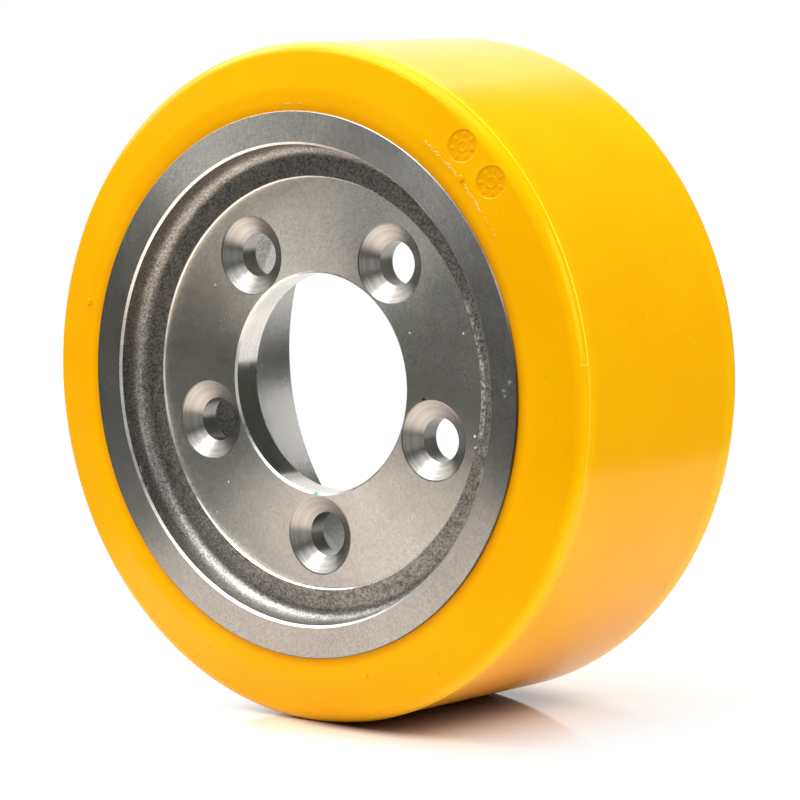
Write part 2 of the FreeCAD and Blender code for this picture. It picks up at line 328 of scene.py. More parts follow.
class Nodes:
    """A node tree that is written as expressions."""

    def __init__(self, tree):
        self.tree = tree
        tree.nodes.clear()

    def node(self, kind, settings=None, inputs=None, output=0):
        """Adds a node: its settings first, then the value or link of each socket."""
        node = self.tree.nodes.new("ShaderNode" + kind)
        for name, value in (settings or {}).items():
            setattr(node, name, value)
        for key, value in (inputs or {}).items():
            if isinstance(value, Value):
                self.tree.links.new(value.socket, node.inputs[key])
            else:
                node.inputs[key].default_value = value
        return Value(self, node.outputs[output]) if node.outputs else None

    def math(self, operation, *terms):
        return self.node("Math", {"operation": operation}, dict(enumerate(terms)))

    def ramp(self, value, low, high, start=0.0, end=1.0):
        """Goes smoothly from start to end as the value goes from low to high."""
        return self.node("MapRange", {"interpolation_type": "SMOOTHSTEP"}, {
            "Value": value, "From Min": low, "From Max": high, "To Min": start, "To Max": end})

    def colour(self, factor, first, second):
        """Mixes two colours."""
        return self.node("Mix", {"data_type": "RGBA"}, {0: factor, 6: first, 7: second}, 2)

    def noise(self, place, size, detail=2.0, roughness=0.5):
        """Noise with grains of about one size."""
        return self.node("TexNoise", {}, {
            "Vector": place, "Scale": 1 / size, "Detail": detail, "Roughness": roughness})

    def line_noise(self, distance, size, detail=2.0):
        """Noise that changes along one distance only."""
        return self.node("TexNoise", {"noise_dimensions": "1D"}, {
            "W": distance, "Scale": 1 / size, "Detail": detail})

    def bump(self, height):
        """A normal from a height in metres."""
        return self.node("Bump", {}, {"Height": height, "Strength": 1.0, "Distance": 1.0})

    def vector(self, operation, *terms):
        return self.node("VectorMath", {"operation": operation}, dict(enumerate(terms)))

    def point(self):
        """A point of the piece."""
        return self.node("TexCoord", {}, {}, "Object")

    def coordinates(self, point, axes):
        """A point's coordinates on these axes."""
        return [self.node("SeparateXYZ", {}, {"Vector": point}, axis) for axis in axes]

    def distance(self, across, upright):
        """The distance that two coordinates make together."""
        return self.math("SQRT", across * across + upright * upright)

    def rays(self):
        """1 for the camera's own rays, and 1 for rays that a shiny or clear surface passed on."""
        camera = self.node("LightPath", {}, {}, "Is Camera Ray")
        glossy = self.node("LightPath", {}, {}, "Is Glossy Ray")
        clear = self.node("LightPath", {}, {}, "Is Transmission Ray")
        return camera, self.math("MAXIMUM", glossy, clear)

    def finish(self, surface, kind="OutputMaterial"):
        self.node(kind, {}, {"Surface": surface})


def new_material(name):
    material = bpy.data.materials.new(name)
    material.use_nodes = True
    return material, Nodes(material.node_tree)


def principled(nodes, **sockets):
    """A Principled surface. Socket names are written with underscores."""
    names = {name.replace("_", " "): value for name, value in sockets.items()}
    return nodes.node("BsdfPrincipled", {}, names)


# Finishes

def tooled_metal(nodes, normal, across, upright, radius, spread, **sockets):
    """Bare metal with tool marks round an axis along y, too fine to be seen one by one. They spread its
    shine along the section, so it is mixed from surfaces that lean that way."""
    around = nodes.node("CombineXYZ", {}, {"X": 0 - upright / radius, "Z": across / radius})
    section = nodes.vector("CROSS_PRODUCT", normal, around)
    metal = None
    total = 0
    for lean, share in TOOL_LEANS:
        leaning = nodes.node("VectorMath", {"operation": "SCALE"}, {0: section, "Scale": lean * spread})
        facing = nodes.vector("NORMALIZE", nodes.vector("ADD", normal, leaning))
        side = principled(nodes, Normal=facing, **sockets)
        total += share
        metal = nodes.node("MixShader", {}, {0: share / total, 1: metal, 2: side}) if metal else side
    return metal


def spots(nodes, x, z, places, sharp=0.4):
    """1 on round marks at these radii, angles and sizes on the outer side, 0 away from them."""
    marks = 0.0
    for radius, angle, size in places:
        turn = math.radians(angle)
        across = x - radius * math.cos(turn)
        upright = z - radius * math.sin(turn)
        away = nodes.distance(across, upright)
        marks = nodes.math("MAXIMUM", nodes.ramp(away, size * sharp, size, 1.0, 0.0), marks)
    return marks


def turned_iron():
    """Bare grey iron from the lathe, with circular tool marks, nicks, rust dots and a dab of green paint.
    Low down, the rim's edge is painted darker brown, as painted shade."""
    material, nodes = new_material("turned_iron")
    point = nodes.point()
    x, y, z = nodes.coordinates(point, "XYZ")
    radius = nodes.distance(x, z)
    along = radius + y
    waves = nodes.line_noise(along, 1.1 * MM) * (0.010 * MM)
    cloud = nodes.noise(point, 26 * MM, 4.0, 0.6)
    rings = nodes.line_noise(along, 0.9 * MM, 3.0)
    speckle = nodes.noise(point, 0.8 * MM, 3.0, 0.6)
    tone = nodes.ramp(speckle, 0.34, 0.66) * 0.55 + nodes.ramp(cloud, *NOISE_RANGE) * 0.25 + rings * 0.20
    hub = nodes.colour(tone, *HUB_TONES)
    lip = nodes.colour(tone, *LIP_TONES)
    base = nodes.colour(nodes.ramp(radius, FACE, LIP), hub, lip)
    # Painted shade: the rim's edge is painted dark brown low down
    edge = nodes.ramp(radius, RIM - 1.5 * RIM_CHAMFER, RIM - RIM_CHAMFER)
    painted_low_shade = edge * nodes.ramp(z, *LOW_SHADE_HEIGHTS, 1.0, 0.0)
    base = nodes.colour(painted_low_shade, base, LOW_SHADE_BROWN)
    bore_start = FRONT + OUTER_FACE + BORE_CHAMFER_DEPTH
    front = nodes.ramp(y, bore_start, bore_start + BORE_CHAMFER_DEPTH, 1.0, 0.0)
    scuffs = spots(nodes, x, z, SCUFFS, sharp=0.0) * 0.3
    nicks = nodes.math("MAXIMUM", spots(nodes, x, z, NICKS), scuffs) * front
    paint_dab = spots(nodes, x, z, [PAINT_DAB]) * front
    rust = spots(nodes, x, z, RUST_DOTS) * front
    base = nodes.colour(rust, base, RUST_BROWN)
    base = nodes.colour(nicks, base, NICK_BRIGHT)
    base = nodes.colour(paint_dab, base, PAINT_GREEN)
    bare = (1 - nicks) * (1 - paint_dab)
    nodes.finish(tooled_metal(nodes, nodes.bump(waves), x, z, radius, spread=1.0,
                              Base_Color=base, Metallic=bare,
                              Roughness=nodes.ramp(cloud, *NOISE_RANGE, 0.24, 0.28)))
    return material


def bored_iron():
    """The wall of the bore, cut to size and nearly bright."""
    material, nodes = new_material("bored_iron")
    point = nodes.point()
    [y] = nodes.coordinates(point, "Y")
    cloud = nodes.noise(point, 14 * MM, 4.0, 0.6)
    rings = nodes.line_noise(y, 0.8 * MM, 3.0)
    speckle = nodes.noise(point, 0.8 * MM, roughness=0.6)
    tone = cloud * 0.5 + rings * 0.2 + speckle * 0.3
    base = nodes.colour(nodes.ramp(tone, 0.35, 0.65), *BORE_TONES)
    marks = rings * (0.006 * MM) + speckle * (0.008 * MM)
    nodes.finish(principled(nodes, Base_Color=base, Metallic=1.0, Normal=nodes.bump(marks),
                            Roughness=nodes.ramp(cloud, *NOISE_RANGE, 0.13, 0.19)))
    return material


def cut_edge():
    """The chamfers that the lathe leaves bright, with the end of the dab of paint."""
    material, nodes = new_material("cut_edge")
    point = nodes.point()
    x, z = nodes.coordinates(point, "XZ")
    cloud = nodes.noise(point, 5 * MM, 3.0)
    base = nodes.colour(nodes.ramp(cloud, *NOISE_RANGE), *EDGE_TONES)
    paint_dab = spots(nodes, x, z, [PAINT_DAB])
    base = nodes.colour(paint_dab, base, PAINT_GREEN)
    nodes.finish(principled(nodes, Base_Color=base, Metallic=1 - paint_dab,
                            Roughness=nodes.ramp(cloud, *NOISE_RANGE, 0.26, 0.34)))
    return material


def reamed_iron():
    """The cones and holes of the bolt seats, with tool marks round each seat's own axis."""
    material, nodes = new_material("reamed_iron")
    x, y, z = nodes.coordinates(nodes.point(), "XYZ")
    sector = math.tau / BOLT_COUNT
    quarter = math.tau / 4
    turns = nodes.math("ROUND", (nodes.math("ARCTAN2", z, x) + quarter) / sector)
    middle = turns * sector - quarter
    across = x - nodes.math("COSINE", middle) * BOLT_CIRCLE
    upright = z - nodes.math("SINE", middle) * BOLT_CIRCLE
    radius = nodes.distance(across, upright)
    along = radius + y * 0.7
    marks = nodes.line_noise(along, 0.6 * MM) * (0.008 * MM)
    tone = nodes.line_noise(along, 0.9 * MM, 3.0)
    base = nodes.colour(nodes.ramp(tone, *NOISE_RANGE), *SEAT_TONES)
    nodes.finish(tooled_metal(nodes, nodes.bump(marks), across, upright, radius, spread=0.5,
                              Base_Color=base, Metallic=1.0, Roughness=0.27))
    return material


def cast_skin():
    """The casting's rough skin, blasted clean and left bare. A tool has scraped it at the right."""
    material, nodes = new_material("cast_skin")
    point = nodes.point()
    x, y, z = nodes.coordinates(point, "XYZ")
    sand = nodes.noise(point, 0.75 * MM, 3.0, 0.6)
    lumps = nodes.noise(point, 3.5 * MM, 3.0, 0.55)
    stain = nodes.noise(point, 14 * MM, 3.0, 0.6)
    tone = nodes.ramp(sand, 0.32, 0.72) * 0.85 + nodes.ramp(stain, *NOISE_RANGE) * 0.15
    # Painted shade: the dish's wall is painted darker than its ring
    wall = nodes.colour(tone, *SHADED_WALL_TONES)
    ring = nodes.colour(tone, *RING_TONES)
    base = nodes.colour(nodes.ramp(y, FRONT + DISH - 2 * DISH_FILLET, FRONT + DISH), wall, ring)
    radius = nodes.distance(x, z)
    rise = z / radius
    low, full_low, full_high, high = SCRAPED_RISE
    scraped = nodes.ramp(rise, low, full_low) * nodes.ramp(rise, full_high, high, 1.0, 0.0)
    scraped = scraped * nodes.ramp(x, 0.0, FACE / 2)
    scraped = scraped * nodes.ramp(y, FRONT + DISH + MM, FRONT + INNER_FACE, 1.0, 0.0)
    scraped = scraped * nodes.ramp(radius, FACE + SCRAPED_WIDTH - MM, FACE + SCRAPED_WIDTH, 1.0, 0.0)
    scraped = scraped * nodes.ramp(nodes.noise(point, 1.4 * MM, 3.0, 0.6), 0.44, 0.60)
    base = nodes.colour(scraped, base, SCRAPED_BRIGHT)
    nodes.finish(principled(nodes, Base_Color=base, Metallic=1 - scraped * 0.4,
                            Roughness=nodes.ramp(sand, *NOISE_RANGE, 0.34, 0.44),
                            Normal=nodes.bump(sand * (0.10 * MM) + lumps * (0.12 * MM))))
    return material


def moulded_polyurethane():
    """Satin yellow polyurethane, as it leaves the mould."""
    material, nodes = new_material("moulded_polyurethane")
    point = nodes.point()
    x, y, z = nodes.coordinates(point, "XYZ")
    swirl = nodes.noise(point, 45 * MM, 3.0, 0.55)
    haze = nodes.noise(point, 9 * MM, 3.0, 0.6)
    speck = nodes.ramp(nodes.noise(point, 1.6 * MM, 1.0), 0.775, 0.80)
    base = nodes.colour(nodes.ramp(swirl, *NOISE_RANGE), *TREAD_TONES)
    base = nodes.colour(speck * 0.5, base, SPECK_BROWN)
    radius = nodes.distance(x, z)
    # Painted shade: the yellow is painted darker in a band beside the rim and inside the stamp hollows
    painted_rim_shade = nodes.ramp(radius, RIM, RIM + RIM_SHADE_WIDTH, 0.5, 0.0)
    stamps = [(TREAD - STAMP_INSET, angle, STAMP_RADIUS) for angle in STAMP_ANGLES]
    stamped = spots(nodes, x, z, stamps, sharp=0.93)
    shaded = nodes.math("MAXIMUM", painted_rim_shade, stamped * nodes.ramp(y, -MM, MM, 0.3, 0.0))
    base = nodes.colour(shaded, base, SHADED_YELLOW)
    # Painted light: the round shoulders are painted brighter, most of all low down
    depth = RIM_WIDTH / 2 - nodes.math("ABSOLUTE", y)
    painted_shoulder_light = nodes.ramp(depth, *SHOULDER_LIGHT_START) * nodes.ramp(depth, *SHOULDER_LIGHT_END, 1.0, 0.0)
    painted_shoulder_light = painted_shoulder_light * nodes.ramp(radius, *[TREAD - below for below in SHOULDER_LIGHT_BELOW])
    base = nodes.colour(painted_shoulder_light * nodes.ramp(z, *SHOULDER_LIGHT_HEIGHTS, 0.7, 0.2), base, SHOULDER_LIGHT_YELLOW)
    # Painted highlight: the seam's narrow crest is painted pale, more so higher up
    crest = nodes.ramp(radius, *[TREAD + above for above in HIGHLIGHT_ABOVE])
    crest = crest * nodes.ramp(z, *HIGHLIGHT_HEIGHTS, 0.3, 1.0)
    base = nodes.colour(crest, base, HIGHLIGHT_YELLOW)
    ripple = nodes.noise(point, 12 * MM) * (0.05 * MM)
    skin = nodes.noise(point, 0.9 * MM) * (0.0035 * MM)
    nodes.finish(principled(nodes, Base_Color=base, Roughness=nodes.ramp(haze, *NOISE_RANGE, 0.15, 0.20),
                            Specular_IOR_Level=0.45, Specular_Tint=SHINE_YELLOW,
                            Normal=nodes.bump(ripple + skin)))
    return material


def torn_polyurethane():
    """Thin torn flash, paler than the tread because light passes through it."""
    material, nodes = new_material("torn_polyurethane")
    torn = nodes.noise(nodes.point(), 0.8 * MM)
    base = nodes.colour(nodes.ramp(torn, 0.35, 0.65), *FLASH_TONES)
    nodes.finish(principled(nodes, Base_Color=base, Roughness=0.45, Normal=nodes.bump(torn * (0.05 * MM))))
    return material


# Modelling

def pick(*pieces):
    """Selects these pieces and nothing else. The first is the active one."""
    bpy.ops.object.select_all(action="DESELECT")
    for piece in pieces:
        piece.select_set(True)
    bpy.context.view_layer.objects.active = pieces[0]


def name_piece(name):
    """Names the primitive that was just added, and puts its place in its mesh."""
    piece = bpy.context.object
    piece.name = name
    piece.data.name = name
    bpy.ops.object.transform_apply(location=True, rotation=True, scale=True)
    return piece


@contextlib.contextmanager
def editing(piece, mode="VERT"):
    """Edit mode on one piece, which starts with nothing selected."""
    pick(piece)
    bpy.ops.object.mode_set(mode="EDIT")
    bpy.ops.mesh.select_mode(type=mode)
    bpy.ops.mesh.select_all(action="DESELECT")
    yield
    bpy.ops.object.mode_set(mode="OBJECT")


def choose_points(piece, test):
    """Selects the points whose place passes a test."""
    bpy.ops.mesh.select_all(action="DESELECT")
    mesh = bmesh.from_edit_mesh(piece.data)
    for point in mesh.verts:
        point.select_set(test(point.co))
    mesh.select_flush_mode()
    bmesh.update_edit_mesh(piece.data)


def choose_faces(piece, test):
    """Selects the faces whose middle and normal pass a test."""
    bpy.ops.mesh.select_all(action="DESELECT")
    mesh = bmesh.from_edit_mesh(piece.data)
    for face in mesh.faces:
        if test(face.calc_center_median(), face.normal):
            face.select_set(True)
    bmesh.update_edit_mesh(piece.data)


def section_place(radius, depth):
    return Vector((radius, FRONT + depth, 0))


def draw_section(name, corners):
    """Draws a closed half section by pulling one point from corner to corner."""
    places = [section_place(*corner) for corner in corners]
    bpy.ops.object.select_all(action="DESELECT")
    bpy.ops.mesh.primitive_plane_add(size=MM, location=places[0])
    piece = name_piece(name)
    with editing(piece):
        bpy.ops.mesh.select_all(action="SELECT")
        bpy.ops.mesh.merge(type="CENTER")
        for start, end in zip(places, places[1:]):
            bpy.ops.mesh.extrude_region_move(TRANSFORM_OT_translate={"value": end - start})
        ends = places[0], places[-1]
        choose_points(piece, lambda place: any((place - end).length < JOIN_DISTANCE for end in ends))
        bpy.ops.mesh.edge_face_add()
    return piece


def round_corner(piece, corner, size, segments):
    """Rounds one corner of a section, from a distance before it to the same distance after it."""
    middle = section_place(*corner)
    with editing(piece):
        choose_points(piece, lambda place: (place - middle).length < JOIN_DISTANCE)
        bpy.ops.mesh.bevel(offset=size, segments=segments, affect="VERTICES", clamp_overlap=False)


def divide_section(piece, start, end, cuts):
    """Divides each straight stretch between two places of a section."""
    ends = section_place(*start), section_place(*end)
    run = ends[1] - ends[0]

    def on_stretch(place):
        along = (place - ends[0]).dot(run) / run.length_squared
        aside = (place - ends[0] - run * along).length
        return -END_MARGIN < along < 1 + END_MARGIN and aside < LINE_MARGIN

    with editing(piece):
        choose_points(piece, on_stretch)
        bpy.ops.mesh.subdivide(number_cuts=cuts)


def spin_section(piece, steps):
    """Spins a closed half section round the axis into a shell."""
    with editing(piece):
        bpy.ops.mesh.select_all(action="SELECT")
        bpy.ops.mesh.spin(steps=steps, angle=math.tau, center=(0, 0, 0), axis=(0, 1, 0))
        bpy.ops.mesh.select_all(action="SELECT")
        bpy.ops.mesh.remove_doubles(threshold=JOIN_DISTANCE)
        bpy.ops.mesh.normals_make_consistent(inside=False)


def cut_away(piece, cutter):
    """Cuts one shell out of another, and removes the cutter."""
    cut = piece.modifiers.new("cut", "BOOLEAN")
    cut.operation = "DIFFERENCE"
    cut.solver = "EXACT"
    cut.object = cutter
    pick(piece)
    bpy.ops.object.modifier_apply(modifier=cut.name)
    bpy.data.objects.remove(cutter)


def copies_round(piece, angles):
    """Turns copies of a piece to these angles and joins them into one."""
    copies = []
    for angle in angles:
        pick(piece)
        bpy.ops.object.duplicate()
        copy = bpy.context.object
        with editing(copy):
            bpy.ops.mesh.select_all(action="SELECT")
            bpy.ops.transform.rotate(value=math.radians(angle), orient_axis="Y", center_override=(0, 0, 0))
        copies.append(copy)
    bpy.data.objects.remove(piece)
    pick(*copies)
    bpy.ops.object.join()
    return bpy.context.object


def smooth(piece):
    pick(piece)
    bpy.ops.object.shade_smooth_by_angle(angle=SMOOTH_ANGLE)


def paint(piece, *materials):
    piece.data.materials.clear()
    for material in materials:
        piece.data.materials.append(material)


def paint_faces(piece, slot, test):
    """Gives one of a piece's materials to the faces that pass a test."""
    with editing(piece, "FACE"):
        choose_faces(piece, test)
        piece.active_material_index = slot
        bpy.ops.object.material_slot_assign()


def radius_of(place):
    return math.hypot(place.x, place.z)


def depth_of(place):
    return place.y - FRONT


# The wheel centre

def in_dish(place):
    """True on the rough skin of the outer dish."""
    return (FACE + EDGE_MARGIN < radius_of(place) < LIP
            and LIP_CHAMFER_DEPTH + EDGE_MARGIN < depth_of(place) < OUTER_FACE - RING_MARGIN)


def in_barrel(place):
    """True on the rough skin of the barrel and of the web's inner side."""
    return (FACE + EDGE_MARGIN < radius_of(place) < BARREL + WALL_MARGIN
            and WEB_BACK - WALL_MARGIN < depth_of(place) < REGISTER_STEP - BARREL_CLEANED)


def on_cut_edge(place, normal):
    """True on the chamfers of the lip, the turned face and the bore's mouth."""
    if not UPRIGHT_WALL <= abs(normal.y) <= FLAT_FACE:
        return False
    radius, depth = radius_of(place), depth_of(place)
    on_lip = LIP - WALL_MARGIN < radius < LIP_CHAMFER and depth < LIP_CHAMFER_DEPTH
    on_step = abs(radius - FACE) < STEP_BREAK and depth < OUTER_FACE
    on_mouth = BORE < radius < BORE + BORE_CHAMFER_WIDTH and depth < OUTER_FACE + BORE_CHAMFER_DEPTH
    return on_lip or on_step or on_mouth


def on_bore(place, normal):
    """True on the wall of the bore."""
    return abs(normal.y) < BORE_WALL and radius_of(place) < BORE + WALL_MARGIN


def near_seat(place):
    """True on the cone and hole of a bolt seat."""
    if not OUTER_FACE + SEAT_MARGIN < depth_of(place) < INNER_FACE - SEAT_MARGIN:
        return False
    for angle in BOLT_ANGLES:
        turn = math.radians(angle)
        aside = math.hypot(place.x - BOLT_CIRCLE * math.cos(turn), place.z - BOLT_CIRCLE * math.sin(turn))
        if aside < SEAT_MOUTH + EDGE_BREAK:
            return True
    return False


def model_wheel_centre():
    """The casting: rim, dish, web and barrel, spun from one section, with the bolt seats cut in it."""
    chamfer_foot = LIP - LIP_CHAMFER_DEPTH * CAST_DRAFT, LIP_CHAMFER_DEPTH
    chamfer_top = LIP_CHAMFER, 0
    dish_corner = DISH_FOOT, DISH
    face_edge = FACE, DISH
    face_foot = FACE, OUTER_FACE
    barrel_corner = BARREL_FOOT, WEB_BACK
    barrel_end = BARREL, REGISTER_STEP
    piece = draw_section("cast_wheel_centre", [
        (RIM - RIM_CHAMFER, 0),
        chamfer_top,
        chamfer_foot,
        dish_corner,
        face_edge,
        face_foot,
        (BORE + BORE_CHAMFER_WIDTH, OUTER_FACE),
        (BORE, OUTER_FACE + BORE_CHAMFER_DEPTH),
        (BORE, INNER_FACE - BORE_CHAMFER_DEPTH),
        (BORE + BORE_CHAMFER_WIDTH, INNER_FACE),
        (FACE, INNER_FACE),
        (FACE, WEB_BACK),
        barrel_corner,
        barrel_end,
        (REGISTER, REGISTER_STEP),
        (REGISTER, RIM_WIDTH - REGISTER_CHAMFER),
        (REGISTER + REGISTER_CHAMFER, RIM_WIDTH),
        (RIM - RIM_CHAMFER, RIM_WIDTH),
        (RIM, RIM_WIDTH - RIM_CHAMFER),
        (RIM, RIM_CHAMFER),
    ])
    corner_turn = math.radians(90 - DRAFT_ANGLE)
    round_corner(piece, dish_corner, DISH_FILLET * math.tan(corner_turn / 2), segments=8)
    round_corner(piece, barrel_corner, BARREL_FILLET * math.tan(corner_turn / 2), segments=10)
    round_corner(piece, face_edge, STEP_BREAK, segments=1)
    divide_section(piece, chamfer_foot, dish_corner, cuts=8)
    divide_section(piece, dish_corner, face_edge, cuts=9)
    divide_section(piece, barrel_corner, barrel_end, cuts=32)
    divide_section(piece, (FACE, WEB_BACK), barrel_corner, cuts=3)
    spin_section(piece, WHEEL_STEPS)
    roughen_skin(piece)
    cut_away(piece, seat_cutters())
    smooth(piece)
    return piece


def roughen_skin(piece):
    """Gives the rough skin its relief, and leaves the turned faces true."""
    with editing(piece):
        choose_points(piece, lambda place: in_dish(place) or in_barrel(place))
        bpy.ops.object.vertex_group_assign_new()
    relief = bpy.data.textures.new("sand_relief", "CLOUDS")
    relief.noise_scale = CAST_GRAIN
    relief.noise_depth = 3
    displace = piece.modifiers.new("skin", "DISPLACE")
    displace.texture = relief
    displace.vertex_group = piece.vertex_groups[0].name
    displace.strength = CAST_RELIEF
    displace.mid_level = 0.5
    pick(piece)
    bpy.ops.object.modifier_apply(modifier=displace.name)


def seat_cutters():
    """The shape of all the bolt seats: a cone with a broken edge, and a hole with a broken edge behind."""
    spare = 2 * MM
    cutter = draw_section("bolt_seats", [
        (0, OUTER_FACE - spare),
        (SEAT_MOUTH + EDGE_BREAK, OUTER_FACE - spare),
        (SEAT_MOUTH + EDGE_BREAK, OUTER_FACE),
        (SEAT_MOUTH - EDGE_BREAK * SEAT_SLOPE / 2, OUTER_FACE + EDGE_BREAK / 2),
        (BOLT_HOLE, SEAT_BOTTOM),
        (BOLT_HOLE, INNER_FACE - EDGE_BREAK),
        (BOLT_HOLE + EDGE_BREAK, INNER_FACE),
        (BOLT_HOLE + EDGE_BREAK, INNER_FACE + spare),
        (0, INNER_FACE + spare),
    ])
    spin_section(cutter, SEAT_STEPS)
    with editing(cutter):
        bpy.ops.mesh.select_all(action="SELECT")
        bpy.ops.transform.translate(value=(BOLT_CIRCLE, 0, 0))
    return copies_round(cutter, BOLT_ANGLES)


# The tread

def model_tread():
    """The moulded tread: flat bands, bevelled sides, round shoulders and the fine seam of its mould."""
    back = RIM_WIDTH - TREAD_RECESS
    front_corner = TREAD, SHOULDER
    back_corner = TREAD, RIM_WIDTH - SHOULDER
    seam = [
        (TREAD, SEAM_DEPTH - SEAM_WIDTH),
        (TREAD + SEAM_HEIGHT, SEAM_DEPTH),
        (TREAD, SEAM_DEPTH + SEAM_WIDTH),
    ]
    piece = draw_section("moulded_tread", [
        (RIM, TREAD_RECESS),
        (BAND, TREAD_RECESS),
        front_corner,
        *seam,
        back_corner,
        (BAND, back),
        (RIM, back),
    ])
    round_corner(piece, front_corner, SHOULDER_ROUND, segments=10)
    round_corner(piece, back_corner, SHOULDER_ROUND, segments=10)
    divide_section(piece, (BAND, TREAD_RECESS), front_corner, cuts=9)
    divide_section(piece, (BAND, back), back_corner, cuts=9)
    divide_section(piece, seam[-1], back_corner, cuts=24)
    divide_section(piece, (RIM, TREAD_RECESS), (BAND, TREAD_RECESS), cuts=3)
    spin_section(piece, WHEEL_STEPS)
    cut_away(piece, stamp_cutters())
    smooth(piece)
    return piece


def side_point(radius):
    """A place on the tread's bevelled side, at the right of the wheel, and the way out from it."""
    slope = math.atan(SIDE_BEVEL)
    depth = TREAD_RECESS + (radius - BAND) * SIDE_BEVEL
    return section_place(radius, depth), Vector((math.sin(slope), -math.cos(slope), 0))


def stamp_cutters():
    """The two round hollows in the tread's side, with sloping walls."""
    place, outward = side_point(TREAD - STAMP_INSET)
    turn = outward.to_track_quat("Z", "X").to_euler()
    bpy.ops.object.select_all(action="DESELECT")
    bpy.ops.mesh.primitive_cone_add(vertices=SEAT_STEPS, radius1=STAMP_RADIUS - STAMP_DEPTH,
                                    radius2=STAMP_RADIUS + STAMP_DEPTH, depth=2 * STAMP_DEPTH,
                                    location=place, rotation=turn)
    cutter = name_piece("stamp_hollows")
    with editing(cutter):
        choose_points(cutter, lambda spot: (spot - place).dot(outward) < 0)
        bpy.ops.mesh.bevel(offset=STAMP_DEPTH / 2, segments=3)
    return copies_round(cutter, STAMP_ANGLES)


def model_stamp_dials():
    """The plain raised dial in each round hollow: a ring with soft ticks round it."""
    place, outward = side_point(TREAD - STAMP_INSET)
    floor = place - outward * STAMP_DEPTH
    facing = outward.to_track_quat("Z", "X")
    bpy.ops.object.select_all(action="DESELECT")
    bpy.ops.mesh.primitive_torus_add(location=floor, rotation=facing.to_euler(), major_radius=DIAL_RADIUS,
                                     minor_radius=DIAL_LINE, major_segments=48, minor_segments=12)
    bpy.context.object.scale = 1, 1, DIAL_HEIGHT
    parts = [name_piece("stamp_dials")]
    for tick in range(TICK_COUNT):
        turn = facing @ Quaternion((0, 0, 1), math.tau * tick / TICK_COUNT)
        bpy.ops.object.select_all(action="DESELECT")
        middle = floor + turn @ Vector((TICK_RADIUS, 0, 0))
        bpy.ops.mesh.primitive_ico_sphere_add(subdivisions=3, radius=1, location=middle,
                                              rotation=turn.to_euler(), scale=TICK_SIZE)
        part = name_piece("dial_tick")
        with editing(part):
            choose_points(part, lambda spot: (spot - floor).dot(outward) > TICK_SIZE[2] / 2)
            bpy.ops.mesh.vertices_smooth(factor=0.5, repeat=3)
        parts.append(part)
    pick(*parts)
    bpy.ops.object.join()
    dials = copies_round(bpy.context.object, STAMP_ANGLES)
    dials.name = "stamp_dials"
    smooth(dials)
    return dials


def model_pips():
    """The round pips that the mould leaves on the tread's side."""
    turn = Vector((0, -1, 0)).to_track_quat("Z", "X").to_euler()
    bpy.ops.object.select_all(action="DESELECT")
    bpy.ops.mesh.primitive_cylinder_add(vertices=32, radius=PIP_RADIUS, depth=2 * PIP_HEIGHT,
                                        location=section_place(BAND, TREAD_RECESS), rotation=turn)
    pip = name_piece("mould_pips")
    with editing(pip):
        choose_points(pip, lambda spot: depth_of(spot) < TREAD_RECESS)
        bpy.ops.mesh.bevel(offset=PIP_HEIGHT * 0.7, segments=4)
    pips = copies_round(pip, PIP_ANGLES)
    pips.name = "mould_pips"
    smooth(pips)
    return pips


def shoulder_radius(depth):
    """The tread's radius at a depth on its outer shoulder."""
    middle = SHOULDER + SHOULDER_ROUND
    reach = max(0, middle - depth)
    return TREAD - SHOULDER_RADIUS + math.sqrt(SHOULDER_RADIUS ** 2 - reach ** 2)


def round_wheel(radius, depth, angle):
    """A place round the wheel."""
    turn = math.radians(angle)
    return Vector((radius * math.cos(turn), FRONT + depth, radius * math.sin(turn)))


def model_strand():
    """The hooked strand of flash that hangs on the mould's seam."""
    bpy.ops.object.select_all(action="DESELECT")
    bpy.ops.curve.primitive_nurbs_path_add()
    strand = bpy.context.object
    spline = strand.data.splines[0]
    spline.points.add(len(STRAND_PLACES) - len(spline.points))
    for point, (angle, depth) in zip(spline.points, STRAND_PLACES):
        place = round_wheel(shoulder_radius(depth * MM) + STRAND_RADIUS / 2, depth * MM, angle)
        point.co = *place, 1
    spline.order_u = 3
    spline.use_endpoint_u = True
    strand.data.bevel_depth = STRAND_RADIUS
    strand.data.use_fill_caps = True
    bpy.ops.object.convert(target="MESH")
    strand = name_piece("flash_strand")
    smooth(strand)
    return strand


def model_flakes():
    """Torn flakes of flash along the edge of the tread's flat band, and two notches' raised lips."""
    draw = random.Random(FLAKE_SEED)
    places = []
    for radius, start, end, count in FLAKE_RUNS:
        for turn in range(count):
            angle = start + (end - start) * (turn + draw.uniform(-FLAKE_SHIFT, FLAKE_SHIFT)) / (count - 1)
            scale = draw.uniform(*FLAKE_SCALES)
            away = draw.uniform(-FLAKE_STRAY, FLAKE_STRAY)
            askew = draw.uniform(-FLAKE_ASKEW, FLAKE_ASKEW)
            places.append((radius + away, angle, askew, [length * scale for length in FLAKE_SIZE]))
    places += [(radius, angle, 0, NOTCH_SIZE) for radius, angle in NOTCH_LIPS]
    flakes = []
    for radius, angle, askew, size in places:
        turn = Euler((0, math.radians(-90 - angle) + askew, 0))
        bpy.ops.object.select_all(action="DESELECT")
        bpy.ops.mesh.primitive_ico_sphere_add(subdivisions=2, radius=1, rotation=turn, scale=size,
                                              location=round_wheel(radius, TREAD_RECESS, angle))
        flake = name_piece("torn_flakes")
        with editing(flake):
            bpy.ops.mesh.select_all(action="SELECT")
            bpy.ops.transform.vertex_random(offset=size[1] / 2, seed=len(flakes))
        flakes.append(flake)
    pick(*flakes)
    bpy.ops.object.join()
    bpy.context.object.name = "torn_flakes"
    return bpy.context.object


# The studio

